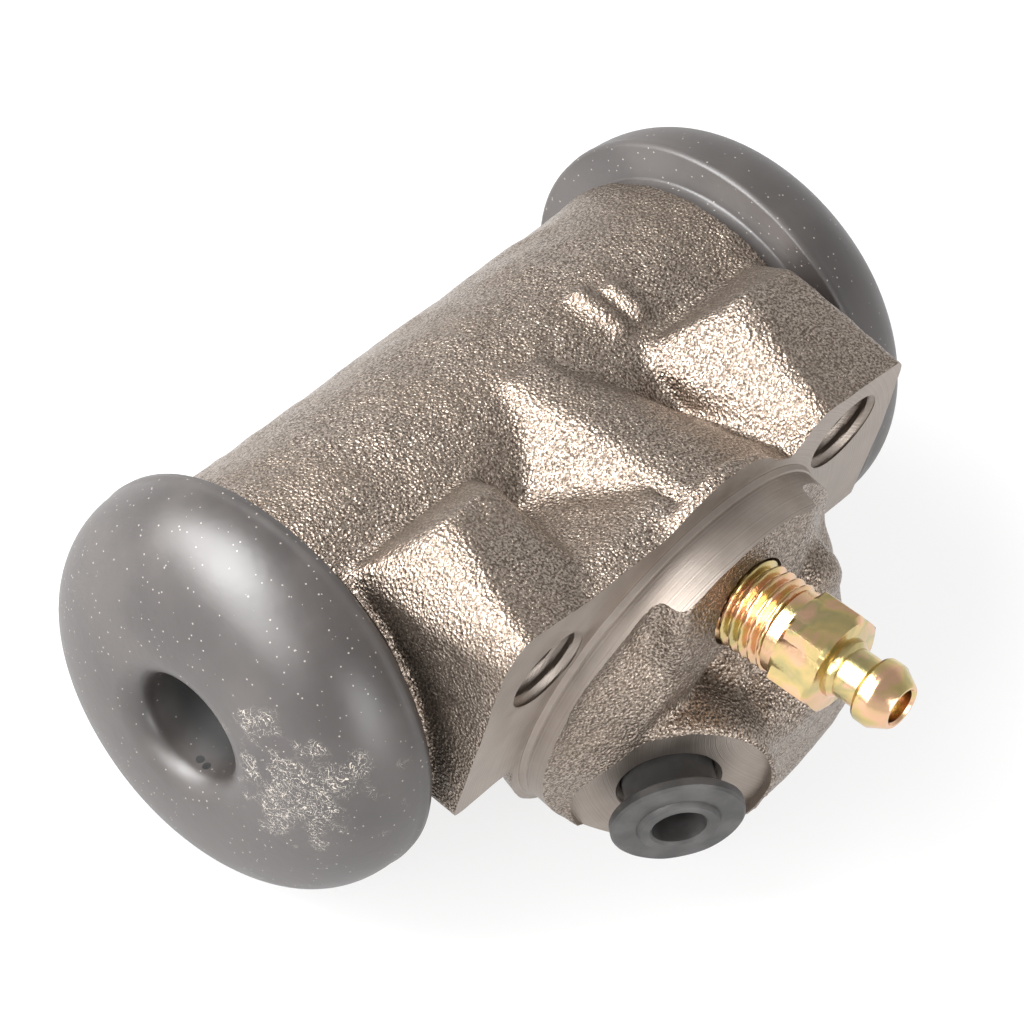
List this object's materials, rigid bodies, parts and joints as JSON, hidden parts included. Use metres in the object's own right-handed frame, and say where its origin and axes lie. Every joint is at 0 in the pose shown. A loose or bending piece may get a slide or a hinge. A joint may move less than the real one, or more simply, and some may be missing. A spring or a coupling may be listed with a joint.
{
  "type": "wheel cylinder",
  "caption": "Cast drum-brake wheel cylinder with opposed pistons, domed rubber boots, a bleeder screw and a plugged inlet.",
  "frame": {"origin": "centre of the round pilot, on the machined face that bolts to the backing plate", "axes": "+X along the bore, -Y out of the mounting face towards the inlet, +Z towards the bleeder's side"},
  "size_m": [0.0996, 0.0801, 0.0547],
  "materials": {
    "cast_iron": "sand cast and brown-grey, with turned and milled faces",
    "boot_rubber": "moulded, dusty satin",
    "cup_rubber": "moulded, smooth",
    "plug_rubber": "moulded, satin",
    "aluminium": "turned",
    "spring_steel": "drawn wire and pressed sheet",
    "yellow_zinc": "yellow chromated zinc plate"
  },
  "bodies": {
    "housing": {"cylinder_body": "cast_iron", "boot_left": "boot_rubber", "boot_right": "boot_rubber", "return_spring": "spring_steel"},
    "left_piston": {"piston_left": "aluminium", "cup_left": "cup_rubber", "expander_left": "spring_steel"},
    "right_piston": {"piston_right": "aluminium", "cup_right": "cup_rubber", "expander_right": "spring_steel"},
    "bleeder": {"bleeder_screw": "yellow_zinc"},
    "plug": {"inlet_plug": "plug_rubber"}
  },
  "joints": [
    {"name": "left_piston_travel", "type": "slide", "parent": "housing", "child": "left_piston", "axis": [-1, 0, 0], "range_m": [-0.002, 0.004], "stiffness_N_per_m": 300, "deforming": ["boot_left", "return_spring"]},
    {"name": "right_piston_travel", "type": "slide", "parent": "housing", "child": "right_piston", "axis": [1, 0, 0], "range_m": [-0.002, 0.004], "stiffness_N_per_m": 300, "deforming": ["boot_right", "return_spring"]},
    {"name": "bleeder_turn", "type": "hinge", "parent": "housing", "child": "bleeder", "pos_m": [0, 0, 0.0127], "axis": [0, -0.9848, 0.1736], "range_deg": [0, 180]},
    {"name": "plug_pull", "type": "slide", "parent": "housing", "child": "plug", "axis": [-0.6004, -0.7997, 0], "range_m": [0, 0.012]}
  ]
}
